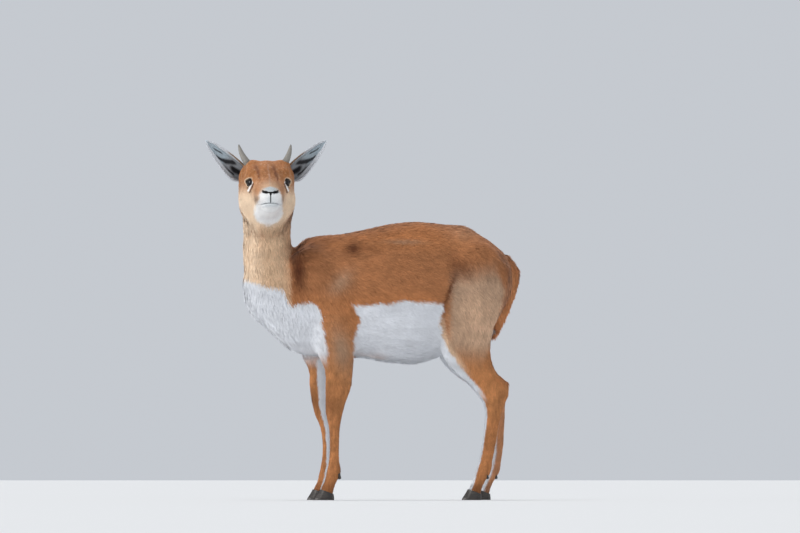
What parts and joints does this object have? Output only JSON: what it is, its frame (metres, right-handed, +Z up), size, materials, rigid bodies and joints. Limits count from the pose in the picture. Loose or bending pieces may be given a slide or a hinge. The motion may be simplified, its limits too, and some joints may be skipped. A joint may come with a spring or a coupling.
{
  "type": "blackbuck",
  "caption": "Young male antelope standing square in its winter coat, head turned to its left, with short spike horns, cupped ears and a slim hanging tail.",
  "frame": {"origin": "the middle of the bottom of the bounding box, level with the soles of the hooves", "axes": "+X the way the trunk faces, +Y the animal's left, +Z up; the head is turned towards +Y"},
  "size_m": [0.8588, 0.3098, 0.9689],
  "materials": {
    "face_coat": "short fawn hair, white round the eyes and muzzle",
    "neck_coat": "soft pale fawn hair",
    "body_coat": "orange-brown hair over a white belly",
    "tail_coat": "brown hair",
    "leg_coat": "close tan hair, white on the inner side",
    "ear_coat": "fine pale hair, tan at the back",
    "eyeball": "wet and dark",
    "horn": "dull horn",
    "hoof": "dull black horn"
  },
  "bodies": {
    "root": {"dewclaw_fore_left_a": "hoof", "dewclaw_fore_left_b": "hoof", "dewclaw_fore_right_a": "hoof", "dewclaw_fore_right_b": "hoof", "dewclaw_hind_left_a": "hoof", "dewclaw_hind_left_b": "hoof", "dewclaw_hind_right_a": "hoof", "dewclaw_hind_right_b": "hoof", "ear_left": "ear_coat", "ear_right": "ear_coat", "eye_left": "eyeball", "eye_right": "eyeball", "head": "face_coat", "hoof_fore_left_a": "hoof", "hoof_fore_left_b": "hoof", "hoof_fore_right_a": "hoof", "hoof_fore_right_b": "hoof", "hoof_hind_left_a": "hoof", "hoof_hind_left_b": "hoof", "hoof_hind_right_a": "hoof", "hoof_hind_right_b": "hoof", "horn_left": "horn", "horn_right": "horn", "lower_leg_fore_left": "leg_coat", "lower_leg_fore_right": "leg_coat", "lower_leg_hind_left": "leg_coat", "lower_leg_hind_right": "leg_coat", "neck": "neck_coat", "tail": "tail_coat", "torso": "body_coat", "upper_leg_fore_left": "leg_coat", "upper_leg_fore_right": "leg_coat", "upper_leg_hind_left": "leg_coat", "upper_leg_hind_right": "leg_coat"}
  },
  "joints": []
}
